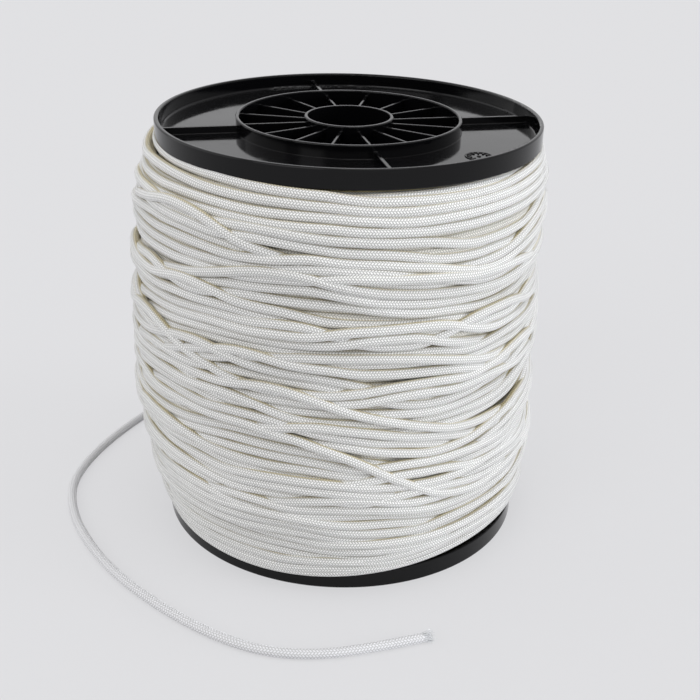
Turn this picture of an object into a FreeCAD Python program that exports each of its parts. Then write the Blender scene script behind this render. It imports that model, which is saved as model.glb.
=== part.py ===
"""String reel: two moulded flanges plugged into a barrel tube, wound full of braided cord.

The reel stands on its lower flange. The origin is on the floor under the reel's axis, +Z runs up
the axis, and the cord's free tail comes round on the floor to the -Y side. Lengths are in mm.
"""
import FreeCAD
import Part
import Sketcher
import math
import os
import re
from FreeCAD import Placement, Rotation, Vector

SIZES = [
    ("overall_height", 225.0, "floor to the upper rim"),
    ("flange_dia", 200.0, "outside of each rim"),
    ("flange_height", 10.0, "rim edge to the face that the cord lies on"),
    ("web_thickness", 2.5, "flat disc of a flange"),
    ("rim_wall", 2.4, "rim at its free edge"),
    ("rim_taper", 0.6, "extra rim wall at its root, the mould's draft"),
    ("rim_edge_radius", 0.8, "rounding of the rim's free edge"),
    ("corner_radius", 1.2, "rounding where the rim stands on the web"),
    ("edge_break", 0.4, "chamfer on the other free edges"),
    ("ring_wall", 1.8, "ring that stands on the web and plugs into the barrel"),
    ("ring_drop", 0.6, "ring's edge below the rim's edge"),
    ("plug_length", 25.0, "ring's reach into the barrel"),
    ("plug_clearance", 0.15, "ring to barrel, all round"),
    ("plug_chamfer", 1.0, "lead-in at the ring's inner end"),
    ("bore_dia", 43.0, "spindle hole"),
    ("hub_wall", 1.6, "wall of the spindle tube"),
    ("hub_drop", 0.8, "spindle tube's edge below the rim's edge"),
    ("main_rib_count", 4, "ribs in the outer trough"),
    ("main_rib_thickness", 1.8, ""),
    ("main_rib_drop", 3.9, "rib's edge below the rim's edge"),
    ("hub_rib_count", 16, "ribs between spindle tube and ring"),
    ("hub_rib_thickness", 1.2, ""),
    ("hub_rib_drop", 3.4, "rib's edge below the rim's edge"),
    ("hub_rib_recess", 2.0, "rib's inner end short of the ring's inner end"),
    ("rib_phase", 13.3, "degrees from +X to the first rib"),
    ("barrel_bore", 117.3, "inside of the barrel tube"),
    ("barrel_wall", 3.5, "wall of the barrel tube"),
    ("cord_dia", 5.0, "braided cord"),
    ("cord_sides", 6, "flats that stand for the cord's round section, with its area"),
    ("cord_clearance", 0.3, "cord to what it lies on"),
    ("winding_dia", 215.0, "outside of the winding at mid height"),
    ("crown_drop", 4.5, "winding's radius lost at each flange"),
    ("crown_shoulder", 22.0, "height over which the winding draws in"),
    ("winding_turns", 24, "turns of the outer layer"),
    ("turn_wander", 1.2, "how far a turn strays up and down"),
    ("wander_rate", 1.37, "strays in each turn"),
    ("exit_angle", 70.0, "degrees from +X to where the tail leaves the winding"),
]

doc = FreeCAD.newDocument("string_reel")
sheet = doc.addObject("Spreadsheet::Sheet", "Sizes")


def fill_sheet():
    """Each row holds a size's name, its number under that alias, and what it measures."""
    for row, (alias, value, meaning) in enumerate(SIZES, start=1):
        sheet.set("A%d" % row, alias)
        sheet.set("B%d" % row, str(value))
        sheet.set("C%d" % row, meaning)
        sheet.setAlias("B%d" % row, alias)
    doc.recompute()


def size(alias):
    return float(sheet.get(alias))


def bound(formula):
    """A formula over the sheet's aliases, as an expression of the document."""
    return re.sub(r"[a-z]\w+", lambda name: "Sizes." + name.group(0), formula)


def value_of(formula):
    return float(sheet.evalExpression(bound(formula)))


def new_sketch(body, name, plane_role, height=None):
    """A sketch on one of the body's planes. One at a height is also turned to the first rib."""
    sketch = body.newObject("Sketcher::SketchObject", name)
    plane = [feature for feature in body.Origin.OriginFeatures if feature.Role == plane_role][0]
    sketch.AttachmentSupport = [(plane, "")]
    sketch.MapMode = "FlatFace"
    if height:
        turned = Rotation(Vector(0, 0, 1), size("rib_phase"))
        sketch.AttachmentOffset = Placement(Vector(0, 0, value_of(height)), turned)
        sketch.setExpression(".AttachmentOffset.Base.z", bound(height))
        sketch.setExpression(".AttachmentOffset.Rotation.Angle", "Sizes.rib_phase")
    return sketch


def dimension(sketch, kind, first, second, name, formula):
    """A driving distance from the first point to the second, bound to the sheet."""
    number = sketch.addConstraint(Sketcher.Constraint(kind, *first, *second, value_of(formula)))
    sketch.renameConstraint(number, name)
    sketch.setExpression("Constraints." + name, bound(formula))


ORIGIN = (-1, 1)


def draw_section(sketch, corners):
    """A closed outline of straight lines. Each corner is its formulas for radius and height."""
    points = [Vector(value_of(radius), value_of(height), 0) for radius, height in corners]
    count = len(points)
    for index in range(count):
        sketch.addGeometry(Part.LineSegment(points[index], points[(index + 1) % count]), False)
    for index in range(count):
        sketch.addConstraint(Sketcher.Constraint("Coincident", index, 2, (index + 1) % count, 1))
    for index, (radius, height) in enumerate(corners):
        dimension(sketch, "DistanceX", ORIGIN, (index, 1), "radius_%d" % index, radius)
        dimension(sketch, "DistanceY", ORIGIN, (index, 1), "height_%d" % index, height)


def draw_rib(sketch, inner, outer, thickness):
    """A rectangle along the sketch's X axis, as wide on both sides of it."""
    low_x = value_of(inner)
    high_x = value_of(outer)
    half = value_of(thickness) / 2
    corners = [Vector(low_x, -half, 0), Vector(high_x, -half, 0),
               Vector(high_x, half, 0), Vector(low_x, half, 0)]
    for index in range(4):
        sketch.addGeometry(Part.LineSegment(corners[index], corners[(index + 1) % 4]), False)
    for index in range(4):
        sketch.addConstraint(Sketcher.Constraint("Coincident", index, 2, (index + 1) % 4, 1))
    for line, direction in ((0, "Horizontal"), (1, "Vertical"), (2, "Horizontal")):
        sketch.addConstraint(Sketcher.Constraint(direction, line))
    sketch.addConstraint(Sketcher.Constraint("Symmetric", 0, 1, 3, 1, -1))
    dimension(sketch, "DistanceX", ORIGIN, (0, 1), "inner", inner)
    dimension(sketch, "DistanceX", ORIGIN, (0, 2), "outer", outer)
    dimension(sketch, "DistanceY", (1, 1), (1, 2), "thickness", thickness)


def revolve(body, name, sketch):
    turned = body.newObject("PartDesign::Revolution", name)
    turned.Profile = sketch
    turned.ReferenceAxis = (sketch, ["V_Axis"])
    turned.Angle = 360
    doc.recompute()
    return turned


def round_edges(body, name, base, circles, radius):
    """A fillet on the circular edges that lie at the given radii and heights."""
    names = []
    for number, edge in enumerate(base.Shape.Edges, start=1):
        if not isinstance(edge.Curve, Part.Circle):
            continue
        for edge_radius, edge_height in circles:
            same_radius = abs(edge.Curve.Radius - value_of(edge_radius)) < 1e-4
            same_height = abs(edge.Curve.Center.z - value_of(edge_height)) < 1e-4
            if same_radius and same_height:
                names.append("Edge%d" % number)
    fillet = body.newObject("PartDesign::Fillet", name)
    fillet.Base = (base, names)
    fillet.Radius = value_of(radius)
    fillet.setExpression("Radius", bound(radius))
    doc.recompute()
    return fillet


def rib_set(body, name, start, end, inner, outer, thickness, count):
    """Ribs from one height to another, spaced evenly round the axis."""
    sketch = new_sketch(body, name + "_sketch", "XY_Plane", start)
    draw_rib(sketch, inner, outer, thickness)
    pad = body.newObject("PartDesign::Pad", name + "_pad")
    pad.Profile = sketch
    pad.setExpression("Length", bound("(%s) - (%s)" % (end, start)))
    ribs = body.newObject("PartDesign::PolarPattern", name)
    ribs.Originals = [pad]
    ribs.Axis = (sketch, ["N_Axis"])
    ribs.Angle = 360
    ribs.setExpression("Occurrences", bound(count))
    body.Tip = ribs
    doc.recompute()


RIM_RADIUS = "flange_dia / 2"
RIM_ROOT = "flange_dia / 2 - rim_wall - rim_taper"
RING_RADIUS = "barrel_bore / 2 - plug_clearance"
HUB_RADIUS = "bore_dia / 2 + hub_wall"
CORD_FACE = "overall_height - flange_height"
WEB_TOP = CORD_FACE + " + web_thickness"
RING_TOP = "overall_height - ring_drop"
HUB_TOP = "overall_height - hub_drop"
PLUG_END = CORD_FACE + " - plug_length"


def make_flange(label):
    """One moulding: rim, web, ring with its plug, spindle tube and ribs, drawn as the upper flange."""
    body = doc.addObject("PartDesign::Body", label)
    body.Label = label

    section = new_sketch(body, label + "_section", "XZ_Plane")
    draw_section(section, [
        (RIM_RADIUS + " - edge_break", CORD_FACE),
        (RIM_RADIUS, CORD_FACE + " + edge_break"),
        (RIM_RADIUS, "overall_height"),
        (RIM_RADIUS + " - rim_wall", "overall_height"),
        (RIM_ROOT, WEB_TOP),
        (RING_RADIUS, WEB_TOP),
        (RING_RADIUS, RING_TOP + " - edge_break"),
        (RING_RADIUS + " - edge_break", RING_TOP),
        (RING_RADIUS + " - ring_wall + edge_break", RING_TOP),
        (RING_RADIUS + " - ring_wall", RING_TOP + " - edge_break"),
        (RING_RADIUS + " - ring_wall", PLUG_END),
        (RING_RADIUS + " - plug_chamfer", PLUG_END),
        (RING_RADIUS, PLUG_END + " + plug_chamfer"),
        (RING_RADIUS, CORD_FACE),
    ])
    disc = revolve(body, label + "_disc", section)
    rim_edges = [(RIM_RADIUS, "overall_height"), (RIM_RADIUS + " - rim_wall", "overall_height")]
    rounded_rim = round_edges(body, label + "_rim_edges", disc, rim_edges, "rim_edge_radius")
    round_edges(body, label + "_corner", rounded_rim, [(RIM_ROOT, WEB_TOP)], "corner_radius")

    rib_set(body, label + "_main_ribs",
            start=CORD_FACE + " + web_thickness / 2",
            end="overall_height - main_rib_drop",
            inner=RING_RADIUS + " - ring_wall / 2",
            outer=RIM_RADIUS + " - rim_wall / 2",
            thickness="main_rib_thickness",
            count="main_rib_count")
    rib_set(body, label + "_hub_ribs",
            start=PLUG_END + " + hub_rib_recess",
            end="overall_height - hub_rib_drop",
            inner=HUB_RADIUS + " - hub_wall / 2",
            outer=RING_RADIUS + " - ring_wall / 2",
            thickness="hub_rib_thickness",
            count="hub_rib_count")

    hub = new_sketch(body, label + "_hub_section", "XZ_Plane")
    draw_section(hub, [
        ("bore_dia / 2", PLUG_END),
        (HUB_RADIUS, PLUG_END),
        (HUB_RADIUS, HUB_TOP + " - edge_break"),
        (HUB_RADIUS + " - edge_break", HUB_TOP),
        ("bore_dia / 2", HUB_TOP),
    ])
    spindle_tube = revolve(body, label + "_hub", hub)
    body.Tip = spindle_tube
    return body


def make_flanges():
    """The lower flange is the same moulding, turned over."""
    upper = make_flange("upper_flange")
    lower = make_flange("lower_flange")
    lower.Placement = Placement(Vector(0, 0, size("overall_height")), Rotation(Vector(1, 0, 0), 180))
    lower.setExpression(".Placement.Base.z", "Sizes.overall_height")
    return [upper, lower]


def make_barrel():
    """A plain tube between the webs of the flanges, which their plugs hold at both ends."""
    outside = doc.addObject("Part::Cylinder", "barrel_outside")
    outside.setExpression("Radius", bound("barrel_bore / 2 + barrel_wall"))
    inside = doc.addObject("Part::Cylinder", "barrel_inside")
    inside.setExpression("Radius", bound("barrel_bore / 2"))
    for cylinder in (outside, inside):
        cylinder.setExpression("Height", bound("overall_height - 2 * flange_height"))
        cylinder.setExpression(".Placement.Base.z", bound("flange_height"))
    barrel = doc.addObject("Part::Cut", "barrel")
    barrel.Base = outside
    barrel.Tool = inside
    barrel.Label = "barrel"
    return barrel


CORE_INSIDE = "barrel_bore / 2 + barrel_wall + cord_clearance"
CORE_RADIUS = "winding_dia / 2 - cord_dia - cord_clearance"
CORE_LOW = "flange_height + cord_clearance"
CORE_HIGH = "overall_height - flange_height - cord_clearance"


def shoulder_radius():
    """Radius of the arc that draws the winding in beside a flange."""
    reach = size("crown_shoulder")
    drop = size("crown_drop")
    return (reach ** 2 + drop ** 2) / (2 * drop)


def make_cord_core():
    """The inner layers of cord, as one crowned solid round the barrel."""
    body = doc.addObject("PartDesign::Body", "cord_core")
    body.Label = "cord_core"
    sketch = new_sketch(body, "cord_core_section", "XZ_Plane")
    inside = value_of(CORE_INSIDE)
    middle = value_of(CORE_RADIUS)
    end = middle - size("crown_drop")
    low = value_of(CORE_LOW)
    high = value_of(CORE_HIGH)
    reach = size("crown_shoulder")
    radius = shoulder_radius()
    sweep = math.asin(reach / radius)
    up = Vector(0, 0, 1)
    low_circle = Part.Circle(Vector(middle - radius, low + reach, 0), up, radius)
    high_circle = Part.Circle(Vector(middle - radius, high - reach, 0), up, radius)
    outline = [
        Part.LineSegment(Vector(inside, high, 0), Vector(inside, low, 0)),
        Part.LineSegment(Vector(inside, low, 0), Vector(end, low, 0)),
        Part.ArcOfCircle(low_circle, -sweep, 0),
        Part.LineSegment(Vector(middle, low + reach, 0), Vector(middle, high - reach, 0)),
        Part.ArcOfCircle(high_circle, 0, sweep),
        Part.LineSegment(Vector(end, high, 0), Vector(inside, high, 0)),
    ]
    for piece in outline:
        sketch.addGeometry(piece, False)
    for first, second in ((0, 1), (1, 2), (4, 5), (5, 0)):
        sketch.addConstraint(Sketcher.Constraint("Coincident", first, 2, second, 1))
    for first, second in ((2, 3), (3, 4)):
        sketch.addConstraint(Sketcher.Constraint("Tangent", first, 2, second, 1))
    for line, direction in ((0, "Vertical"), (1, "Horizontal"), (3, "Vertical"), (5, "Horizontal")):
        sketch.addConstraint(Sketcher.Constraint(direction, line))
    dimension(sketch, "DistanceX", ORIGIN, (0, 1), "inside", CORE_INSIDE)
    dimension(sketch, "DistanceX", ORIGIN, (1, 2), "low_end", CORE_RADIUS + " - crown_drop")
    dimension(sketch, "DistanceX", ORIGIN, (5, 1), "high_end", CORE_RADIUS + " - crown_drop")
    dimension(sketch, "DistanceX", ORIGIN, (3, 1), "middle", CORE_RADIUS)
    dimension(sketch, "DistanceY", ORIGIN, (0, 2), "low", CORE_LOW)
    dimension(sketch, "DistanceY", ORIGIN, (0, 1), "high", CORE_HIGH)
    dimension(sketch, "DistanceY", ORIGIN, (3, 1), "low_shoulder", CORE_LOW + " + crown_shoulder")
    dimension(sketch, "DistanceY", ORIGIN, (3, 2), "high_shoulder", CORE_HIGH + " - crown_shoulder")
    body.Tip = revolve(body, "cord_core_crown", sketch)
    return body


def winding_radius(height):
    """Radius of the cord's centre line where it lies on the core at a height."""
    lift = size("cord_dia") / 2 + size("cord_clearance")
    middle = value_of(CORE_RADIUS) + lift
    low = value_of(CORE_LOW) + size("crown_shoulder")
    high = value_of(CORE_HIGH) - size("crown_shoulder")
    beyond = max(low - height, height - high, 0.0)
    radius = shoulder_radius() + lift
    return middle - radius + math.sqrt(radius ** 2 - beyond ** 2)


def winding_place(turn):
    """Centre of the cord after so many turns, going down the reel and counter-clockwise."""
    turns = size("winding_turns")
    margin = size("flange_height") + size("cord_clearance") + size("cord_dia") / 2
    top = size("overall_height") - margin
    fade = math.sin(math.pi * min(max(turn / turns, 0.0), 1.0))
    stray = size("turn_wander") * fade * math.sin(2 * math.pi * size("wander_rate") * turn)
    height = top - (top - margin) * turn / turns + stray
    angle = math.radians(size("exit_angle")) + 2 * math.pi * (turn - turns)
    radius = winding_radius(height)
    return Vector(radius * math.cos(angle), radius * math.sin(angle), height)


def winding_direction(turn):
    step = 1e-4
    ahead = winding_place(turn + step) - winding_place(turn - step)
    return ahead.normalize()


def arc_edge(start, corner, end):
    """The arc from start to end that is tangent to both lines to the corner, as long one as the other."""
    middle = (start + end) * 0.5
    half_chord = (end - start).Length / 2
    turn = math.acos(min(half_chord / (corner - start).Length, 1.0))
    top = middle + (corner - middle) * (math.tan(turn / 2) / math.tan(turn))
    return Part.Arc(start, top, end).toShape()


def biarc(start, start_way, end, end_way):
    """Two arcs that leave start and reach end along the given directions."""
    chord = end - start
    ways = chord.dot(start_way + end_way)
    bend = 1 - start_way.dot(end_way)
    reach = (math.sqrt(ways ** 2 + 2 * bend * chord.dot(chord)) - ways) / (2 * bend)
    first = start + start_way * reach
    second = end - end_way * reach
    joint = (first + second) * 0.5
    return [arc_edge(start, first, joint), arc_edge(joint, second, end)]


def section_reach():
    """From the middle of the cord's faceted section to its corners."""
    sides = size("cord_sides")
    share = 2 * math.pi / sides
    return size("cord_dia") / 2 * math.sqrt(share / math.sin(share))


def cord_section(place, way):
    """The cord's faceted section, square to its direction, with a flat on top."""
    sides = int(size("cord_sides"))
    across = way.cross(Vector(0, 0, 1)).normalize()
    over = across.cross(way)
    corners = []
    for index in range(sides):
        angle = 2 * math.pi * (index + 0.5) / sides + math.pi / 2
        corners.append(place + (across * math.cos(angle) + over * math.sin(angle)) * section_reach())
    return Part.makePolygon(corners + corners[:1])


def end_section(solid, place):
    """The outline of a tube's end face at a place, for the next tube to start from."""
    face = min(solid.Faces, key=lambda candidate: (candidate.CenterOfMass - place).Length)
    return face.OuterWire


def make_tube(label, path, section):
    """A solid swept along a wire of lines and arcs. Its volume is compared with section times length."""
    cord = doc.addObject("Part::Feature", label)
    cord.Label = label
    cord.Shape = path.makePipeShell([section], True, False)
    ratio = cord.Shape.Volume / (Part.Face(section).Area * path.Length)
    print("%s: length %.1f mm, volume ratio %.4f" % (label, path.Length, ratio))
    return cord


def least_gap(path, nearest_turn):
    """Smallest space between two stretches of a cord that lie at least so far apart along it."""
    diameter = 2 * section_reach()
    points = []
    for edge in path.Edges:
        points.extend(edge.discretize(POINTS_PER_ARC)[:-1])
    lengths = [0.0]
    for before, after in zip(points, points[1:]):
        lengths.append(lengths[-1] + (after - before).Length)
    least = None
    for index, point in enumerate(points):
        for other in range(index + 1, len(points)):
            if lengths[other] - lengths[index] < nearest_turn:
                continue
            if abs(point.z - points[other].z) > 2 * diameter:
                continue
            gap = (point - points[other]).Length - diameter
            if least is None or gap < least:
                least = gap
    return least


STEPS_PER_TURN = 2
POINTS_PER_ARC = 9


def make_cord_winding():
    """The outer layer of cord: one tube that winds down the core, straight for a diameter at each end."""
    diameter = size("cord_dia")
    steps = int(size("winding_turns")) * STEPS_PER_TURN
    places = [winding_place(step / STEPS_PER_TURN) for step in range(steps + 1)]
    ways = [winding_direction(step / STEPS_PER_TURN) for step in range(steps + 1)]
    start = places[0] - ways[0] * diameter
    end = places[-1] + ways[-1] * diameter
    edges = [Part.LineSegment(start, places[0]).toShape()]
    for step in range(steps):
        edges.extend(biarc(places[step], ways[step], places[step + 1], ways[step + 1]))
    edges.append(Part.LineSegment(places[-1], end).toShape())
    path = Part.Wire(edges)
    winding = make_tube("cord_winding", path, cord_section(start, ways[0]))
    print("cord_winding: least gap to itself %.2f mm" % least_gap(path, size("winding_dia")))
    return winding, end, ways[-1]


TAIL_LEAD = 22.0
TAIL_ON_FLOOR = 2.6
TAIL_POINTS = [
    (-25.0, 113.5, 9.6),
    (-61.0, 118.5, 5.6),
    (-95.0, 113.0, 3.2),
    (-120.5, 96.0, TAIL_ON_FLOOR),
    (-135.5, 70.0, TAIL_ON_FLOOR),
    (-147.5, 43.0, TAIL_ON_FLOOR),
    (-155.5, 16.5, TAIL_ON_FLOOR),
    (-158.5, -10.5, TAIL_ON_FLOOR),
    (-150.5, -41.0, TAIL_ON_FLOOR),
    (-136.0, -69.0, TAIL_ON_FLOOR),
    (-116.0, -96.5, TAIL_ON_FLOOR),
    (-90.0, -121.5, TAIL_ON_FLOOR),
    (-62.0, -142.5, TAIL_ON_FLOOR),
    (-35.0, -155.0, TAIL_ON_FLOOR),
    (-7.5, -156.5, TAIL_ON_FLOOR),
    (20.5, -149.5, TAIL_ON_FLOOR),
    (46.9, -140.1, TAIL_ON_FLOOR),
]
ARC_SHARE = 0.45


def make_cord_tail(winding, start, way):
    """The cord's free end: off the winding behind the reel, down to the floor and round to the front."""
    points = [start, start + way * TAIL_LEAD]
    points.extend(Vector(*point) for point in TAIL_POINTS)
    edges = []
    radii = []
    last = points[0]
    for before, corner, after in zip(points, points[1:], points[2:]):
        back = (before - corner).normalize()
        ahead = (after - corner).normalize()
        turn = math.pi - back.getAngle(ahead)
        shorter = min((before - corner).Length, (after - corner).Length)
        reach = ARC_SHARE * shorter
        radii.append(reach / math.tan(turn / 2))
        arc_start = corner + back * reach
        arc_end = corner + ahead * reach
        edges.append(Part.LineSegment(last, arc_start).toShape())
        edges.append(arc_edge(arc_start, corner, arc_end))
        last = arc_end
    edges.append(Part.LineSegment(last, points[-1]).toShape())
    tail = make_tube("cord_tail", Part.Wire(edges), end_section(winding.Shape, start))
    print("cord_tail: bend radii " + ", ".join("%.0f" % radius for radius in radii) + " mm")
    print("cord_tail: lead from (%.1f, %.1f, %.1f) to (%.1f, %.1f, %.1f)" % (*points[0], *points[1]))
    return tail


def check(parts):
    """Stops the build if a feature failed or a piece is not one valid solid."""
    for item in doc.Objects:
        if "Invalid" in item.State or "Error" in item.State:
            raise RuntimeError("%s is %s" % (item.Label, item.State))
    for part in parts:
        shape = part.Shape
        if shape.isNull() or not shape.isValid() or len(shape.Solids) != 1:
            raise RuntimeError("%s is not one valid solid" % part.Label)


def main():
    fill_sheet()
    parts = make_flanges()
    parts.append(make_barrel())
    parts.append(make_cord_core())
    winding, end, way = make_cord_winding()
    parts.append(winding)
    parts.append(make_cord_tail(winding, end, way))
    doc.recompute()
    check(parts)
    os.makedirs("parts", exist_ok=True)
    for part in parts:
        part.Shape.exportStep("parts/%s.step" % part.Label)
        box = part.Shape.BoundBox
        triangles = len(part.Shape.tessellate(0.1)[1])
        print("%s: volume %.0f mm3, z %.2f to %.2f, %d triangles" % (
            part.Label, part.Shape.Volume, box.ZMin, box.ZMax, triangles))


main()
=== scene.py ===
"""Looks of a moulded reel wound full of white braided cord, laid out as an add-on."""

import math

import bpy
import numpy as np
from mathutils import Matrix, Vector


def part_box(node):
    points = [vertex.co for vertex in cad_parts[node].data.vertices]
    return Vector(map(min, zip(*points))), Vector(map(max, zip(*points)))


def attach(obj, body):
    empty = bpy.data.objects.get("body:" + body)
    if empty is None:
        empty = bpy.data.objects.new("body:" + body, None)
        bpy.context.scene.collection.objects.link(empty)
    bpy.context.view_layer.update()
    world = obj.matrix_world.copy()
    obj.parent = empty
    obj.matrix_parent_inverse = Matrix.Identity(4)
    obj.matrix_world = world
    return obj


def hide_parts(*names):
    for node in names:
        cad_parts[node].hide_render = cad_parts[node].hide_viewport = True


bl_info = {
    "name": "String reel",
    "version": (1, 0, 0),
    "blender": (4, 5, 0),
    "location": "3D View > Sidebar > Reel",
    "description": "Dresses the packed reel: moulded flanges, wound cord, free cord end and stage",
    "category": "Object",
}

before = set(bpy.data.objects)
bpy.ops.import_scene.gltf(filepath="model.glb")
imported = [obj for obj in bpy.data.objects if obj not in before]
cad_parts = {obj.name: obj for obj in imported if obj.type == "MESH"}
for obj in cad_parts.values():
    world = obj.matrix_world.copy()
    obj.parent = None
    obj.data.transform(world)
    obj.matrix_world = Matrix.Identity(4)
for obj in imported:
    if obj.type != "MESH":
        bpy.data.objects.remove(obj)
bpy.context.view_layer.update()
LENGTH = "LENGTH"
MM = 0.001


def linear(code):
    """Turns an sRGB hex colour into linear light."""
    shares = [int(code[place:place + 2], 16) / 255 for place in (0, 2, 4)]
    return [share / 12.92 if share <= 0.04045 else ((share + 0.055) / 1.055) ** 2.4 for share in shares]


class CordSizes(bpy.types.PropertyGroup):
    """Sizes and colours of the braided cord."""

    diameter: bpy.props.FloatProperty(
        name="Cord diameter", description="Across the round braid",
        default=5 * MM, min=1 * MM, unit=LENGTH)
    stitch: bpy.props.FloatProperty(
        name="Stitch length", description="Along the cord, from one stitch of the braid to the next",
        default=1.45 * MM, min=0.3 * MM, unit=LENGTH)
    # painted shade: the free end's colours are a darker copy of the cord's white and groove colours, as the
    # free end lies in stronger light on the floor
    free_shaded_colour: bpy.props.FloatVectorProperty(
        name="Free end colour", description="The free end, which is handled more than the turns",
        default=linear("dcdcdf"), subtype="COLOR", size=3, min=0, max=1)
    free_groove_shade: bpy.props.FloatVectorProperty(
        name="Free groove colour", description="Between the stitches of the free end, which lie looser",
        default=linear("a4a4a3"), subtype="COLOR", size=3, min=0, max=1)
    free_stitch: bpy.props.FloatProperty(
        name="Free stitch length", description="The same, on the free end of the cord",
        default=1.6 * MM, min=0.3 * MM, unit=LENGTH)
    rows: bpy.props.IntProperty(
        name="Stitch rows", description="Rows of stitches round the cord, leaning left and right in turn",
        default=12, min=4)
    inner_turns: bpy.props.IntProperty(
        name="Inner turns", description="Turns in the even layer under the outermost one",
        default=39, min=8)
    outer_turns: bpy.props.IntProperty(
        name="Outer turns", description="Turns in the straying outermost layer", default=54, min=8)
    packing: bpy.props.FloatProperty(
        name="Packing", description="Share of its width that a turn takes up beside the next, as braid is soft",
        default=0.92, min=0.5, max=1.0)
    stray: bpy.props.FloatProperty(
        name="Stray of the turns", description="How far the outer turns wander up and down on their way",
        default=14 * MM, min=0, unit=LENGTH)
    filaments: bpy.props.IntProperty(
        name="Loose filaments", description="At the cord's cut end", default=90, min=0)
    settling: bpy.props.IntProperty(
        name="Settling", description="How often crossing turns are let slide off each other",
        default=27, min=0)
    chance: bpy.props.IntProperty(
        name="Chance", description="Seed of the stray turns", default=7, min=0)
    colour: bpy.props.FloatVectorProperty(
        name="Cord colour", description="Bleached white yarn", subtype="COLOR",
        default=linear("f0f0ee"))
    # painted shade: the groove colour darkens the sunk sides of each stitch, where shade falls between the
    # stitches
    groove_shade: bpy.props.FloatVectorProperty(
        name="Groove colour", description="Between the stitches", subtype="COLOR",
        default=linear("939290"))
    # painted shade: the gap colour is multiplied into the sides of each turn, for the shade and the warm light
    # bounced between turns that lie together
    gap: bpy.props.FloatVectorProperty(
        name="Gap colour", description="Where turns lie together and light passes through yarn",
        subtype="COLOR", default=linear("ddcd97"))


class MouldingLook(bpy.types.PropertyGroup):
    """Finish of the black mouldings."""

    colour: bpy.props.FloatVectorProperty(
        name="Moulding colour", description="Black polystyrene", subtype="COLOR",
        default=linear("060607"))
    mark_size: bpy.props.FloatProperty(
        name="Moulded mark", description="Across the small raised ring on the upper flange",
        default=14 * MM, min=4 * MM, unit=LENGTH)


class StageLook(bpy.types.PropertyGroup):
    """Floor, lamps and camera."""

    backdrop: bpy.props.FloatVectorProperty(
        name="Backdrop colour", description="Pale floor and surroundings", subtype="COLOR",
        default=linear("e0e0e2"))
    floor: bpy.props.FloatVectorProperty(
        name="Floor paint", description="Paint that takes the shadow", subtype="COLOR",
        default=linear("c9c9cb"))
    lens: bpy.props.FloatProperty(
        name="Lens", description="Focal length on a 36 mm sensor", default=60.66, min=10, unit="CAMERA")


def add_node(tree, kind, inputs=None, **settings):
    """Adds a node with its settings. Each input is a value or another node's output."""
    node = tree.nodes.new(kind)
    for name, value in settings.items():
        setattr(node, name, value)
    for place, value in (inputs or {}).items():
        socket = node.inputs[place]
        if isinstance(value, bpy.types.NodeSocket):
            tree.links.new(value, socket)
        else:
            socket.default_value = value
    return node


def calculate(tree, operation, *values):
    """One step of arithmetic on a pattern."""
    return add_node(tree, "ShaderNodeMath", dict(enumerate(values)), operation=operation).outputs[0]


def blank_material(name):
    """A material with nothing in it but its output."""
    material = bpy.data.materials.new(name)
    material.use_nodes = True
    material.node_tree.nodes.clear()
    return material, material.node_tree


def close_material(tree, shader):
    """Sends a shader to the material's output."""
    add_node(tree, "ShaderNodeOutputMaterial", {"Surface": shader.outputs[0]})


def rgba(colour):
    """A colour with full cover, as sockets take it."""
    return (*colour, 1.0)


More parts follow.
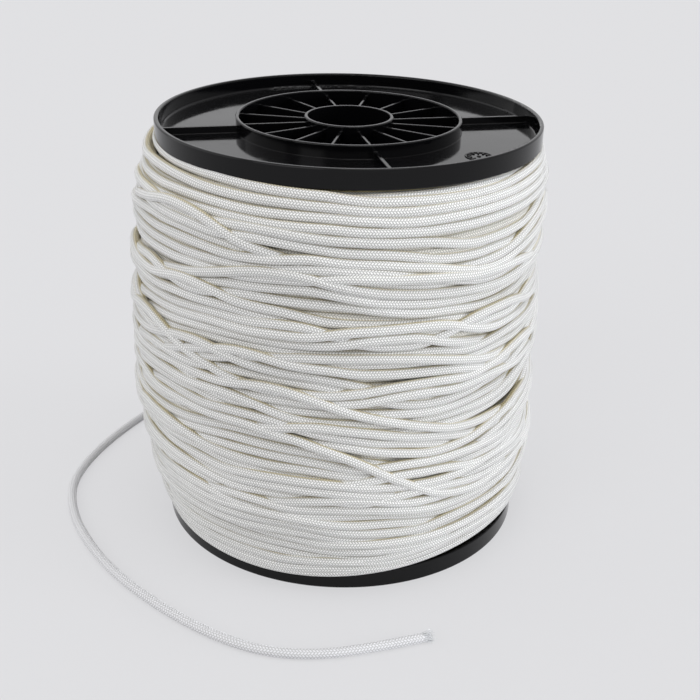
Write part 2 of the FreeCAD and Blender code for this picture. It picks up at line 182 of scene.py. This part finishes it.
def braid_material(name, cord, colour, groove_shade, stitch_length, relief, hidden):
    """Braided filament polyester, bleached white. Fine filaments give each stitch a soft gleam.

    The real stitches look to be about 1.1 mm long. They are drawn coarser, so that they show.
    Relief is the height of a stitch. Hidden is the share of the painted gap shade, the gap colour multiplied
    into the sides of each turn, that also lies on a turn's outward face, as painted shade for turns that lie
    under others, or None where there are no gaps.
    """
    material, tree = blank_material(name)
    place = add_node(tree, "ShaderNodeSeparateXYZ", {
        0: add_node(tree, "ShaderNodeUVMap", uv_map="cord").outputs[0]})
    along, around = place.outputs[0], calculate(tree, "FRACT", place.outputs[1])
    # over some 110 mm the braid turns by up to an eighth of its round, as it does when laid by hand
    drift = add_node(tree, "ShaderNodeTexNoise", {
        "W": calculate(tree, "MULTIPLY", along, 9.0),
        "Scale": 1.0, "Detail": 1.0}, noise_dimensions="1D")
    twist = calculate(tree, "MULTIPLY_ADD", drift.outputs[0], 0.24, -0.12)
    lane = calculate(tree, "MULTIPLY", calculate(tree, "ADD", around, twist), float(cord.rows))
    across = calculate(tree, "FRACT", lane)
    odd = calculate(tree, "MODULO", calculate(tree, "FLOOR", calculate(tree, "ADD", lane, 16.0)), 2.0)
    # each row slants by half a stitch, to one side and the other in turn
    lean = calculate(tree, "MULTIPLY_ADD", odd, -2.0, 1.0)
    offset = calculate(tree, "MULTIPLY", lean, calculate(tree, "MULTIPLY", across, 0.5))
    count = calculate(tree, "ADD", calculate(tree, "DIVIDE", along, stitch_length), offset)
    stitch = calculate(tree, "FRACT", calculate(tree, "ADD", count, 1000.0))
    # a stitch is a pillow, full in its middle and sunk at its sides; the sunk sides are bumped, and also
    # painted with the groove colour as painted shade
    length_fall = calculate(tree, "POWER", calculate(tree, "ABSOLUTE", calculate(
        tree, "MULTIPLY_ADD", stitch, 2.0, -1.0)), 1.7)
    width_fall = calculate(tree, "POWER", calculate(tree, "ABSOLUTE", calculate(
        tree, "MULTIPLY_ADD", across, 2.0, -1.0)), 3.0)
    pillow = calculate(tree, "MULTIPLY", calculate(tree, "SUBTRACT", 1.0, length_fall), calculate(
        tree, "MULTIPLY_ADD", width_fall, -0.7, 1.0))
    # painted shade: the groove colour fills the stitches' sunk sides
    yarn = add_node(tree, "ShaderNodeMix", {
        0: pillow, 6: rgba(groove_shade), 7: rgba(colour)}, data_type="RGBA").outputs[2]
    # handling leaves the cord a little uneven in whiteness, over stretches of about 450 mm
    tone = add_node(tree, "ShaderNodeTexNoise", {
        "W": calculate(tree, "MULTIPLY", along, 2.2),
        "Scale": 1.0, "Detail": 2.0}, noise_dimensions="1D")
    shade = calculate(tree, "MULTIPLY_ADD", tone.outputs[0], 0.16, 0.9)
    yarn = add_node(tree, "ShaderNodeVectorMath", {0: yarn, 3: shade}, operation="SCALE").outputs[0]
    if hidden is not None:
        # painted shade in the gaps between turns: the sides of each turn are multiplied by the warm gap colour,
        # standing in for the shade and warm bounced light between turns
        side = calculate(tree, "ABSOLUTE", calculate(tree, "SUBTRACT", around, 0.5))
        gap_shade_share = add_node(tree, "ShaderNodeMapRange", {
            0: side, 1: 0.155, 2: 0.265, 3: hidden, 4: 1.0}, interpolation_type="SMOOTHSTEP").outputs[0]
        painted_gap_shade = add_node(tree, "ShaderNodeMix", {
            0: 1.0, 6: yarn, 7: rgba(cord.gap)}, data_type="RGBA", blend_type="MULTIPLY").outputs[2]
        yarn = add_node(tree, "ShaderNodeMix", {0: gap_shade_share, 6: yarn, 7: painted_gap_shade}, data_type="RGBA").outputs[2]
    bump = add_node(tree, "ShaderNodeBump", {
        "Strength": 0.9, "Distance": relief, "Height": pillow})
    shader = add_node(tree, "ShaderNodeBsdfPrincipled", {
        "Base Color": yarn, "Roughness": 0.55, "IOR": 1.5, "Specular IOR Level": 0.4,
        "Sheen Weight": 0.7, "Sheen Roughness": 0.35, "Normal": bump.outputs[0]})
    close_material(tree, shader)
    return material


def filament_material(name, colour):
    """Loose polyester filaments, partly painted grey as painted shade among the loose filaments."""
    material, tree = blank_material(name)
    where = add_node(tree, "ShaderNodeTexCoord").outputs["Object"]
    # grey stretches of painted shade and white ones change at random every 1.4 mm
    tone = add_node(tree, "ShaderNodeTexNoise", {"Vector": where, "Scale": 700.0, "Detail": 2.0})
    yarn = add_node(tree, "ShaderNodeMix", {
        0: tone.outputs[0], 6: rgba(linear("a3a6ad")), 7: rgba(colour)}, data_type="RGBA").outputs[2]
    shader = add_node(tree, "ShaderNodeBsdfPrincipled", {
        "Base Color": yarn, "Roughness": 0.35, "IOR": 1.55})
    close_material(tree, shader)
    return material


def moulded_material(name, colour, roughness, fine):
    """Injection-moulded black polystyrene. It mirrors its surroundings, with slight sink and scuffs."""
    material, tree = blank_material(name)
    where = add_node(tree, "ShaderNodeTexCoord").outputs["Object"]
    # scuffs lie about 11 mm apart, sink marks 36 mm and the grain 0.7 mm
    scuff = add_node(tree, "ShaderNodeTexNoise", {"Vector": where, "Scale": 90.0, "Detail": 5.0})
    polish = add_node(tree, "ShaderNodeMapRange", {
        0: scuff.outputs[0], 1: 0.35, 2: 0.75, 3: roughness, 4: roughness + 0.08})
    sink = add_node(tree, "ShaderNodeTexNoise", {"Vector": where, "Scale": 28.0, "Detail": 1.5})
    grain = add_node(tree, "ShaderNodeTexNoise", {"Vector": where, "Scale": 1400.0, "Detail": 2.0})
    height = calculate(tree, "MULTIPLY_ADD", grain.outputs[0], fine, sink.outputs[0])
    # moulded edges are never sharp
    edge = add_node(tree, "ShaderNodeBevel", {"Radius": 0.7 * MM}, samples=4)
    bump = add_node(tree, "ShaderNodeBump", {
        "Strength": 0.25, "Distance": 0.4 * MM, "Height": height, "Normal": edge.outputs[0]})
    shader = add_node(tree, "ShaderNodeBsdfPrincipled", {
        "Base Color": rgba(colour), "Roughness": polish.outputs[0], "IOR": 1.3,
        "Normal": bump.outputs[0]})
    close_material(tree, shader)
    return material


def add_object(name, data):
    """Puts a mesh, curve, lamp or camera into the scene, at the origin."""
    thing = bpy.data.objects.new(name, data)
    bpy.context.collection.objects.link(thing)
    return thing


def dress(piece, material):
    """Gives a piece one material all over."""
    piece.data.materials.clear()
    piece.data.materials.append(material)


def along_path(points):
    """Unit directions along a line of points."""
    ways = np.gradient(points, axis=0)
    return ways / np.linalg.norm(ways, axis=1)[:, None]


def mapped_piece(name, points, faces, corners, smooth):
    """A mesh with a map called cord, in metres along the cord and in turns round it."""
    mesh = bpy.data.meshes.new(name)
    mesh.from_pydata(points.tolist(), [], faces)
    mesh.uv_layers.new(name="cord").data.foreach_set("uv", corners.ravel())
    mesh.polygons.foreach_set("use_smooth", smooth)
    mesh.update()
    return add_object(name, mesh)


def sweep(name, points, outward, radius, sides, start=0.0):
    """A closed tube round a line of points, with its map in metres along and in turns around.

    The map's 0.5 around faces outward, and its seam lies on the hidden side. Start is where the map
    begins along the cord, in metres.
    """
    count = len(points)
    ways = along_path(points)
    out = outward - ways * np.sum(outward * ways, axis=1)[:, None]
    out /= np.linalg.norm(out, axis=1)[:, None]
    across = np.cross(ways, out)
    angles = 2 * np.pi * np.arange(sides) / sides + np.pi
    radius = np.broadcast_to(radius, count)
    rings = (points[:, None]
             + radius[:, None, None] * (np.cos(angles)[None, :, None] * out[:, None]
                                        + np.sin(angles)[None, :, None] * across[:, None]))
    vertices = np.concatenate([rings.reshape(-1, 3), points[:1], points[-1:]])
    lengths = np.concatenate([[0], np.cumsum(np.linalg.norm(np.diff(points, axis=0), axis=1))]) + start
    ring, side = np.meshgrid(np.arange(count - 1), np.arange(sides), indexing="ij")
    after = (side + 1) % sides
    walls = np.stack([ring * sides + side, ring * sides + after,
                      (ring + 1) * sides + after, (ring + 1) * sides + side], -1).reshape(-1, 4)
    wall_map = np.stack([
        np.stack([lengths[ring], side / sides], -1), np.stack([lengths[ring], (side + 1) / sides], -1),
        np.stack([lengths[ring + 1], (side + 1) / sides], -1),
        np.stack([lengths[ring + 1], side / sides], -1)], 2).reshape(-1, 2)
    each = np.arange(sides)
    low = np.stack([np.full(sides, count * sides), (each + 1) % sides, each], -1)
    high = np.stack([np.full(sides, count * sides + 1), (count - 1) * sides + each,
                     (count - 1) * sides + (each + 1) % sides], -1)
    ends = [np.tile([[length, 0.5]], (3 * sides, 1)) for length in (lengths[0], lengths[-1])]
    return mapped_piece(
        name, vertices, walls.tolist() + low.tolist() + high.tolist(), np.concatenate([wall_map, *ends]),
        [True] * len(walls) + [False] * 2 * sides)


# places along each turn of the wound cord
COLUMNS = 144
# heights of the cord's centre in the lowest and in the highest turn
LOW, HIGH = 12.75 * MM, 212.3 * MM
# where the free end leaves the winding
EXIT_ANGLE = math.radians(70)
EXIT_RADIUS, EXIT_HEIGHT = 101.63 * MM, 12.7 * MM
# radius of the cord's centre on the inner layers, and how far the winding leans to one side, in mm
CORE_RADIUS, LEAN = 101.6, 5.5
# directions in which the winding's foot shows the lower flange, at the front right and at the left
FOOT_RIGHT, FOOT_LEFT = math.radians(330), math.radians(190)
# how far an outer turn lies outside the core's radius, and how much further a crossing turn may
LAYER, CROSSING = 5.2 * MM, 1.9 * MM
# how many places of the turn before are draped together with a turn
OVERLAP = 24


def smooth_line(values, rounds):
    """Evens out a line of values with its two ends kept."""
    for _ in range(rounds):
        values[1:-1] = 0.25 * values[:-2] + 0.5 * values[1:-1] + 0.25 * values[2:]
    return values


def smooth_step(values):
    """Eases from nought to one as the values do."""
    values = np.clip(values, 0, 1)
    return values * values * (3 - 2 * values)


def drape(line):
    """Lets a line of cord bridge its dips, as cord does under tension."""
    for _ in range(3):
        line = np.maximum(line, smooth_line(line.copy(), 10))
    return line


def facing(angle, direction, sharpness):
    """One in a given direction, and less to both sides of it."""
    return np.clip(np.cos(angle - direction), 0, 1) ** sharpness


def knot_noise(random, places, step, size):
    """Smooth chance values along the turns, with level stretches where neighbouring turns agree.

    A step is a number of turns.
    """
    knots = random.normal(0.0, size, int(places.max() / step) + 3)
    index = places / step
    low = np.floor(index).astype(int)
    share = smooth_step((index - low - 0.3) / 0.4)
    return knots[low] * (1 - share) + knots[low + 1] * share


def core_radius(height, angle):
    """Radius of the cord's centre on the inner layers, crowned, and fuller on one side."""
    edge = np.minimum(height - LOW, HIGH - height)
    fall = np.clip(1 - edge / (24 * MM), 0, 1)
    lean = smooth_step(np.minimum((height - LOW) / (60 * MM), (HIGH - height + 25 * MM) / (80 * MM)))
    full = CORE_RADIUS + 1.3 * smooth_step((150 * MM - height) / (80 * MM)) - 4.2 * fall ** 2
    return (full - LEAN * lean * np.cos(angle) - tuck(height, angle)) * MM


def tuck(height, angle):
    """How far the winding's foot is drawn in, in mm, where it shows the lower flange."""
    right = np.clip(1 - (height - LOW) / (42 * MM), 0, 1) ** 1.5 * facing(angle, FOOT_RIGHT, 2.5)
    left = np.clip(1 - (height - LOW) / (78 * MM), 0, 1) * facing(angle, FOOT_LEFT, 3)
    return 9 * right + 6 * left


def stack_turns(heights, angles, diameter):
    """Where each turn comes to rest on the core and on the turns before it, and which way it slides."""
    radii = np.zeros_like(heights)
    slide = np.zeros_like(heights)
    column = np.arange(heights.shape[1])
    for turn in range(len(heights)):
        rest = core_radius(heights[turn], angles[turn])
        before = rest[:1].repeat(OVERLAP)
        if turn:
            gap = heights[turn] - heights[:turn]
            lift = np.sqrt(np.maximum(diameter ** 2 - gap ** 2, 0))
            # soft braid sinks in where turns cross
            top = np.where(np.abs(gap) < diameter, radii[:turn] + 0.55 * lift, 0)
            under = top.argmax(0)
            highest = top[under, column]
            steep = gap[under, column] / np.maximum(lift[under, column], 0.35 * diameter)
            steep = np.where(highest > rest, steep, 0)
            slide[turn] += steep
            slide[under, column] -= 0.5 * steep
            rest = np.maximum(rest, highest)
            before = radii[turn - 1, -OVERLAP:]
        radii[turn] = drape(np.concatenate([before, rest]))[OVERLAP:]
    return radii, slide


# how strongly the turns wander in waves of each order, and after how many turns they change
STRAY_WAVES = ((1, 0.2, 2.7), (2, 0.24, 2.1), (3, 0.2, 1.7), (4, 0.13, 1.5), (6, 0.07, 1.3))
# turns that rise over the others and fall back steeply: turns before the last, direction, rise in mm
LEAPS = ((12, 275, 42), (22, 270, 28), (29, 225, 28))
# waves of the sag that all turns share, as order, size and the angle of the lowest place
SAG_WAVES = ((1, 0.18, 201), (2, 0.41, 310.4), (3, 0.21, 306.4))


def steep_turns(place):
    """How far a few turns rise over the others, and how long each stays in its own row meanwhile.

    Place counts the turns from the cord's exit, below nought.
    """
    leap, waited = np.zeros_like(place), np.zeros_like(place)
    for turns_left, direction, rise in LEAPS:
        after = place + turns_left - (math.radians(direction) - EXIT_ANGLE) / (2 * math.pi)
        # up over two thirds of a turn, and down again over a sixth of one
        leap += rise * MM * smooth_step((after + 0.8) / 0.65) * (1 - smooth_step((after + 0.08) / 0.16))
        waited += np.clip(after + 0.8, 0, 1)
    return leap, waited


def stray_wave(random, place, angle, stray):
    """How far the turns lie above or below an even winding."""
    # squeezed out between the flanges, the turns sag at the front right and rise at both sides
    sag = sum(size * np.cos(order * (angle - math.radians(lowest))) for order, size, lowest in SAG_WAVES)
    wave = -stray * (1 + knot_noise(random, place, 4.1, 0.25)) * sag
    for order, size, step in STRAY_WAVES:
        wave += stray * knot_noise(random, place, step, size) * np.cos(order * angle)
        wave += stray * knot_noise(random, place, step, size) * np.sin(order * angle)
    return wave


def settle_turns(cord, wanted, angles, floor, ceiling):
    """Lets crossing turns slide off each other, and gives heights and radii along the cord."""
    heights = wanted.copy()
    width = cord.diameter * cord.packing
    for _ in range(cord.settling):
        slide = stack_turns(heights, angles, width)[1]
        heights += 0.25 * MM * np.clip(slide, -1.5, 1.5) + 0.015 * (wanted - heights)
        line = smooth_line(heights.ravel().copy(), 2)
        heights = np.clip(line, floor, ceiling).reshape(-1, COLUMNS)
    radii = stack_turns(heights, angles, width)[0].ravel()
    return heights.ravel(), smooth_line(drape(radii), 6)


def lay_cord(cord):
    """Angles, heights and radii of two layers: an even one going up and a straying one going down."""
    random = np.random.default_rng(cord.chance)
    inner, both = cord.inner_turns, cord.inner_turns + cord.outer_turns
    place = (np.arange(both * COLUMNS) + 1) / COLUMNS
    angle = EXIT_ANGLE + 2 * math.pi * (place - both)
    climb = LOW + (HIGH - LOW) * place / inner
    leap, waited = steep_turns(place - both)
    fall = HIGH - (HIGH - LOW) * (place - inner - waited) / (cord.outer_turns - len(LEAPS))
    wanted = np.where(place < inner, climb, fall)
    above, below = wanted - LOW, HIGH - wanted
    # turns stray less the nearer they are to a flange
    room = 0.35 * smooth_step(np.minimum(above / (40 * MM), below / (12 * MM)))
    room += 0.65 * smooth_step(np.minimum(above / (90 * MM), below / (28 * MM)))
    room = np.where(place < inner, 0.35 * room, room)
    wave = stray_wave(random, place, angle, cord.stray)
    floor = LOW + 5 * MM * facing(angle, FOOT_RIGHT, 2.5)
    # on the fuller side the uppermost turn stands up beside the rim
    beside = 4 * MM * np.clip(-np.cos(angle), 0, 1) ** 1.5 * (place > inner)
    ceiling = HIGH + beside * (1 - smooth_step(below / (12 * MM)))
    wanted += ceiling - HIGH + leap
    wanted = np.clip(smooth_line(wanted + room * wave, 6), floor, ceiling)
    heights, radii = settle_turns(
        cord, wanted.reshape(-1, COLUMNS), angle.reshape(-1, COLUMNS), floor, ceiling)
    # turns that cross high up are pulled in by their own tension
    level = core_radius(heights, angle) + LAYER
    high = np.maximum(radii - level, 0)
    radii = np.minimum(radii, level) + CROSSING * (1 - np.exp(-high / CROSSING))
    # the last turn runs out on the lower flange to where the free end leaves
    ending = smooth_step((place - both + 0.3) / 0.28)
    heights += ending * (EXIT_HEIGHT - heights)
    radii += ending * (EXIT_RADIUS - radii)
    return angle, heights, radii


def round_reel(angle, height, radius):
    """Points and outward directions from cylindrical places."""
    outward = np.stack([np.cos(angle), np.sin(angle), np.zeros_like(angle)], -1)
    return outward * radius[:, None] + height[:, None] * np.array([0, 0, 1.0]), outward


def deep_layers(name, cord, hole):
    """The layers of turns under the inner one, as one closed ring with a ridge for each turn."""
    turns, steps = cord.inner_turns, 6
    pitch = (HIGH - LOW + 4 * MM) / turns
    height = LOW - 2 * MM + pitch * np.arange(turns * steps + 1) / steps
    row = np.arange(turns * steps + 1) / steps
    ridge = np.sqrt(np.maximum(1 - (2 * (row % 1) - 1) ** 2, 0)) * cord.diameter / 2
    angle = 2 * math.pi * np.arange(COLUMNS) / COLUMNS
    grid_height, grid_angle = np.meshgrid(height, angle, indexing="ij")
    outer = core_radius(grid_height, grid_angle) - 0.86 * cord.diameter + 0.7 * ridge[:, None]
    # two more rings, above and below, line the hole for the barrel
    radius = np.concatenate([outer, np.full((2, COLUMNS), hole)])
    grid_height = np.concatenate([grid_height, grid_height[-1:], grid_height[:1]])
    grid_angle = np.concatenate([grid_angle, grid_angle[:2]])
    row = np.concatenate([row, row[-1:], row[:1]])
    points = round_reel(grid_angle.ravel(), grid_height.ravel(), radius.ravel())[0]
    count = len(radius)
    place, column = np.meshgrid(np.arange(count), np.arange(COLUMNS), indexing="ij")
    above, beside = (place + 1) % count, (column + 1) % COLUMNS
    faces = np.stack([place * COLUMNS + column, place * COLUMNS + beside,
                      above * COLUMNS + beside, above * COLUMNS + column], -1).reshape(-1, 4)
    near, far = column * 4.4 * MM, (column + 1) * 4.4 * MM
    low, high = row[place], np.where(place == count - 1, row[-1], row[above])
    corners = np.stack([np.stack([near, low], -1), np.stack([far, low], -1),
                        np.stack([far, high], -1), np.stack([near, high], -1)], 2)
    return mapped_piece(name, points, faces.tolist(), corners, [True] * len(faces))


def finish_piece(piece, material, slot, *nodes):
    """Gives a new piece its material and body, and hides the nodes that it stands for. The slot is not used."""
    dress(piece, material)
    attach(piece, "root")
    if nodes:
        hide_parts(*nodes)


# control points of the free end's curve, in mm, from where it leaves the winding to its cut end
TAIL_ROUTE = [
    (30.1, 97.2, 12.7),
    (9.4, 104.7, 12.5),
    (-25.0, 113.5, 9.6),
    (-61.0, 118.5, 5.6),
    (-95.0, 113.0, 3.2),
    (-120.5, 96.0, 2.6),
    (-135.5, 70.0, 2.6),
    (-147.5, 43.0, 2.6),
    (-155.5, 16.5, 2.6),
    (-158.5, -10.5, 2.6),
    (-150.5, -41.0, 2.6),
    (-136.0, -69.0, 2.6),
    (-116.0, -96.5, 2.6),
    (-90.0, -121.5, 2.6),
    (-62.0, -142.5, 2.6),
    (-35.0, -155.0, 2.6),
    (-7.5, -156.5, 2.6),
    (20.5, -149.5, 2.6),
    (46.9, -140.1, 2.6),
]


def spline_points(name, route, steps):
    """Points of a smooth curve that has the route as its control points."""
    curve = bpy.data.curves.new(name, "CURVE")
    curve.dimensions = "3D"
    curve.resolution_u = steps
    spline = curve.splines.new("NURBS")
    spline.points.add(len(route) - 1)
    for point, place in zip(spline.points, route):
        point.co = (*(Vector(place) * MM), 1.0)
    spline.order_u = 3
    spline.use_endpoint_u = True
    guide = add_object(name, curve)
    mesh = bpy.data.meshes.new_from_object(guide.evaluated_get(bpy.context.evaluated_depsgraph_get()))
    points = np.array([vertex.co for vertex in mesh.vertices], float)
    bpy.data.objects.remove(guide)
    bpy.data.meshes.remove(mesh)
    return points


def frayed_end(name, path, cord):
    """Thin filaments that leave the braid just before its cut end, spread and curl. Sizes are in mm."""
    random = np.random.default_rng(cord.chance)
    end = path[-1]
    way = end - path[-4]
    way /= np.linalg.norm(way)
    side = np.cross(way, [0, 0, 1.0])
    side /= np.linalg.norm(side)
    up = np.cross(side, way)
    curve = bpy.data.curves.new(name, "CURVE")
    curve.dimensions = "3D"
    curve.bevel_depth = 0.13 * MM
    curve.bevel_resolution = 1
    curve.use_fill_caps = True
    share = np.linspace(0, 1, 7)
    for _ in range(cord.filaments):
        turn = random.uniform(0, 2 * math.pi)
        start, reach = random.uniform(-8.5, -4.5), random.uniform(-1.2, 1.6)
        inside = random.uniform(0.55, 1.0)
        spread = random.normal(0.9, 0.5) + 0.6 * max(math.sin(turn + 0.6), 0)
        curl = random.normal(0, 0.5, 2)
        along = start + (reach - start) * share
        out = 2.35 * inside + 0.1 * share + spread * share ** 2.4
        sideways = out * math.cos(turn) + curl[0] * share ** 3
        upward = out * math.sin(turn) + curl[1] * share ** 3
        points = end + MM * (along[:, None] * way + sideways[:, None] * side + upward[:, None] * up)
        points[:, 2] = np.maximum(points[:, 2], 0.16 * MM)
        spline = curve.splines.new("POLY")
        spline.points.add(len(points) - 1)
        for point, place, thin in zip(spline.points, points, 1 - 0.6 * share ** 2):
            point.co = (*place, 1.0)
            point.radius = thin
    piece = add_object(name, curve)
    bpy.ops.object.select_all(action="DESELECT")
    piece.select_set(True)
    bpy.context.view_layer.objects.active = piece
    bpy.ops.object.convert(target="MESH")
    piece = bpy.context.active_object
    piece.name = name
    return piece


def raised_mark(name, centre, size):
    """A small moulded date ring: a raised circle with twelve ticks round a dot."""
    bpy.ops.object.select_all(action="DESELECT")
    line = 0.075 * size
    bpy.ops.mesh.primitive_torus_add(
        location=centre, major_radius=size / 2 - line / 2, minor_radius=line / 2, major_segments=40,
        minor_segments=8)
    piece = bpy.context.active_object
    piece.name = name
    bpy.ops.object.transform_apply(location=True, rotation=True, scale=True)
    bpy.ops.object.mode_set(mode="EDIT")
    for number in range(12):
        angle = 2 * math.pi * number / 12
        reach = 0.36 * size
        place = (centre[0] + reach * math.cos(angle), centre[1] + reach * math.sin(angle), centre[2])
        bpy.ops.mesh.primitive_cube_add(
            size=1, location=place, rotation=(0, 0, angle), scale=(0.13 * size, 0.06 * size, line))
    bpy.ops.mesh.primitive_uv_sphere_add(
        segments=16, ring_count=8, radius=0.08 * size, location=centre, scale=(1, 1, 0.5))
    bpy.ops.object.mode_set(mode="OBJECT")
    return piece


class REEL_OT_mouldings(bpy.types.Operator):
    """Gives the flanges and the barrel their moulded finish"""

    bl_idname = "reel.mouldings"
    bl_label = "Finish mouldings"

    def execute(self, context):
        look = context.scene.reel_moulding
        glossy = moulded_material("glossy_black_polystyrene", look.colour, 0.06, 0.02)
        matt = moulded_material("matt_black_tube", look.colour, 0.5, 0.3)
        for name in ("upper_flange", "lower_flange"):
            dress(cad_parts[name], glossy)
        dress(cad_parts["barrel"], matt)
        mark = raised_mark("upper_flange_mark", (63.5 * MM, -47.6 * MM, 217.5 * MM), look.mark_size)
        finish_piece(mark, glossy, "moulding")
        return {"FINISHED"}


class REEL_OT_wound_cord(bpy.types.Operator):
    """Lays the turns of cord between the flanges"""

    bl_idname = "reel.wound_cord"
    bl_label = "Wind cord"

    def execute(self, context):
        cord = context.scene.reel_cord
        looks = cord, cord.colour, cord.groove_shade, cord.stitch, 0.28 * MM
        braid = braid_material("white_braid_wound", *looks, 0.0)
        # painted shade: the turns under the outer layer are a shaded copy of the braid, with 0.15 of the
        # painted gap shade over their faces too
        under = braid_material("white_braid_shaded_under_turns", *looks, 0.15)
        angle, height, radius = lay_cord(cord)
        points, outward = round_reel(angle, height, radius)
        # a straight step leads from the last turn to the free end
        points = np.concatenate([points, np.array([TAIL_ROUTE[0]]) * MM])
        outward = np.concatenate([outward, outward[-1:]])
        # the layers meet where later turns cover the place
        change = round((cord.inner_turns - 0.6) * COLUMNS)
        thick = cord.diameter / 2
        inner = sweep("cord_inner_turns", points[:change + 1], outward[:change + 1], thick, 8)
        outer = sweep("cord_outer_turns", points[change:], outward[change:], thick, 12, start=17.3)
        deep = deep_layers("cord_deep_layers", cord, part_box("barrel")[1][0] + 0.2 * MM)
        finish_piece(deep, under, "cord", "cord_core")
        finish_piece(inner, under, "cord", "cord_core")
        finish_piece(outer, braid, "cord", "cord_winding")
        return {"FINISHED"}


class REEL_OT_free_cord(bpy.types.Operator):
    """Leads the cord's free end off the reel and round it on the floor"""

    bl_idname = "reel.free_cord"
    bl_label = "Lead out free cord"

    def execute(self, context):
        cord = context.scene.reel_cord
        path = spline_points("cord_route", TAIL_ROUTE, 8)
        upward = np.tile([0.0, 0.0, 1.0], (len(path), 1))
        # the cut end draws in where its filaments have come loose
        left = np.linalg.norm(path - path[-1], axis=1)
        radius = cord.diameter / 2 * (0.62 + 0.38 * smooth_step(left / (7 * MM)))
        tail = sweep("cord_tail_braid", path, upward, radius, 16, start=40.0)
        # the free end's darker colours are painted shade
        looks = cord, cord.free_shaded_colour, cord.free_groove_shade, cord.free_stitch, 0.16 * MM
        braid = braid_material("white_braid_free", *looks, None)
        finish_piece(tail, braid, "cord", "cord_tail")
        loose = frayed_end("cord_tail_filaments", path, cord)
        clear = filament_material("loose_polyester_filaments", cord.colour)
        finish_piece(loose, clear, "cord", "cord_tail")
        return {"FINISHED"}


# where the picture is taken from, in mm, and how far the camera looks down and is rolled, in degrees
EYE, EYE_DOWN, EYE_ROLL = (3.552, -603.85, 373.187), 25.102, 1.438


class REEL_OT_stage(bpy.types.Operator):
    """Sets up the floor, the lamps and the camera"""

    bl_idname = "reel.stage"
    bl_label = "Set up stage"

    def execute(self, context):
        look = context.scene.reel_stage
        scene = context.scene
        scene.view_settings.view_transform = "Standard"
        bpy.ops.object.select_all(action="DESELECT")
        bpy.ops.mesh.primitive_circle_add(vertices=96, radius=6.0, fill_type="NGON")
        floor = context.active_object
        floor.name = "floor"
        material, tree = blank_material("painted_floor")
        # the backdrop's own brightness keeps the floor even, and the shadow still shows on it
        paint = add_node(tree, "ShaderNodeBsdfPrincipled", {
            "Base Color": rgba(look.floor), "Roughness": 0.9, "Specular IOR Level": 0.0})
        glow = add_node(tree, "ShaderNodeEmission", {"Color": rgba(look.backdrop), "Strength": 1.0})
        even = calculate(tree, "MULTIPLY", self.seen(tree), 0.75)
        close_material(tree, add_node(tree, "ShaderNodeMixShader", {
            0: even, 1: paint.outputs[0], 2: glow.outputs[0]}))
        dress(floor, material)
        world = bpy.data.worlds.new("studio")
        world.use_nodes = True
        tree = world.node_tree
        tree.nodes.clear()
        seen = self.seen(tree)
        light = add_node(tree, "ShaderNodeBackground", {"Color": (0.8, 0.8, 0.81, 1.0), "Strength": 1.0})
        shown = add_node(tree, "ShaderNodeBackground", {"Color": rgba(look.backdrop), "Strength": 1.0})
        mix = add_node(tree, "ShaderNodeMixShader", {0: seen, 1: light.outputs[0], 2: shown.outputs[0]})
        add_node(tree, "ShaderNodeOutputWorld", {"Surface": mix.outputs[0]})
        scene.world = world
        self.lamp("overhead", 0.6, 28, (0.15, -0.08, 0.985))
        side = self.lamp("side", 4.0, 35, (0.993, -0.12, 0.05), "f8fbff")
        # a wide sheet of cloth, which leaves no disc in the glossy mouldings
        side.visible_glossy = False
        self.lamp("back", 0.1, 40, (0.0, 0.93, 0.36))
        self.lamp("left", 0.6, 60, (-0.95, 0.1, 0.3))
        self.lamp("front", 0.8, 40, (-0.5, -0.68, 0.54))
        camera = bpy.data.cameras.new("camera")
        camera.sensor_width = 36
        camera.lens = look.lens
        camera.clip_start = 0.01
        camera.clip_end = 50
        eye = add_object("camera", camera)
        eye.location = Vector(EYE) * MM
        tilt = Matrix.Rotation(math.radians(90 - EYE_DOWN), 3, "X")
        roll = Matrix.Rotation(math.radians(EYE_ROLL), 3, "Z")
        eye.rotation_euler = (tilt @ roll).to_euler()
        scene.camera = eye
        return {"FINISHED"}

    def seen(self, tree):
        """One where the backdrop is looked at, straight or in gloss, and nought where it gives light."""
        ray = add_node(tree, "ShaderNodeLightPath")
        return calculate(tree, "MAXIMUM", ray.outputs["Is Camera Ray"], calculate(
            tree, "MAXIMUM", ray.outputs["Is Glossy Ray"], ray.outputs["Is Transmission Ray"]))

    def lamp(self, name, strength, spread, toward, colour="ffffff"):
        """A far soft lamp in a given direction from the reel."""
        data = bpy.data.lights.new(name, "SUN")
        data.color = linear(colour)
        data.energy = strength
        data.angle = math.radians(spread)
        lamp = add_object(name, data)
        lamp.rotation_euler = Vector(toward).to_track_quat("Z", "Y").to_euler()
        return lamp


class REEL_PT_panel(bpy.types.Panel):
    """Sizes, colours and steps of the reel"""

    bl_idname = "REEL_PT_panel"
    bl_label = "String reel"
    bl_space_type = "VIEW_3D"
    bl_region_type = "UI"
    bl_category = "Reel"

    def draw(self, context):
        for group in GROUPS:
            for name in GROUPS[group].__annotations__:
                self.layout.prop(getattr(context.scene, group), name)
        for operator in OPERATORS:
            self.layout.operator(operator.bl_idname)


GROUPS = {"reel_cord": CordSizes, "reel_moulding": MouldingLook, "reel_stage": StageLook}
OPERATORS = (REEL_OT_mouldings, REEL_OT_wound_cord, REEL_OT_free_cord, REEL_OT_stage)


def register():
    """Makes the settings, the steps and the panel known."""
    for name, group in GROUPS.items():
        bpy.utils.register_class(group)
        setattr(bpy.types.Scene, name, bpy.props.PointerProperty(type=group))
    for operator in OPERATORS:
        bpy.utils.register_class(operator)
    bpy.utils.register_class(REEL_PT_panel)


def unregister():
    """Takes them away again."""
    bpy.utils.unregister_class(REEL_PT_panel)
    for operator in reversed(OPERATORS):
        bpy.utils.unregister_class(operator)
    for name, group in GROUPS.items():
        delattr(bpy.types.Scene, name)
        bpy.utils.unregister_class(group)


def main():
    """Builds the whole picture."""
    register()
    bpy.ops.reel.mouldings()
    bpy.ops.reel.wound_cord()
    bpy.ops.reel.free_cord()
    bpy.ops.reel.stage()


if __name__ == "__main__":
    main()
